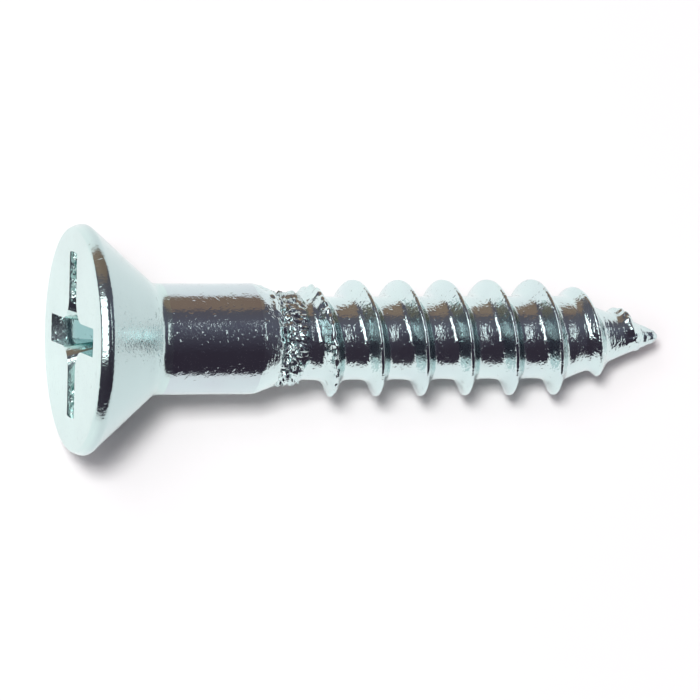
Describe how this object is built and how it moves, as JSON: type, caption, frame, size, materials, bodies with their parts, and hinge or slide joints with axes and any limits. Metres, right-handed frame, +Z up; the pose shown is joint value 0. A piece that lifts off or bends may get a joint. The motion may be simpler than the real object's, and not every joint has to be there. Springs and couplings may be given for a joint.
{
  "type": "countersunk wood screw",
  "caption": "Countersunk cross-recess wood screw with a plain shank, a rolled right-hand thread and a gimlet point, for joining wood.",
  "frame": {"origin": "middle of the head's flat face, at the mouth of the drive recess", "axes": "+X along the screw's axis from the face to the point, +Y and +Z across it, +Z up with the screw lying down"},
  "size_m": [0.0254, 0.0094, 0.0094],
  "materials": {
    "zinc_plate": "bright zinc plate with a clear, slightly blue-green passivate",
    "zinc_plate_rolled": "the same plate over the rolled thread, with small laps and nicks"
  },
  "bodies": {
    "root": {"head": "zinc_plate", "shank": "zinc_plate", "neck": "zinc_plate", "thread_core": "zinc_plate_rolled", "point": "zinc_plate_rolled", "thread": "zinc_plate_rolled", "point_thread": "zinc_plate_rolled"}
  },
  "joints": []
}
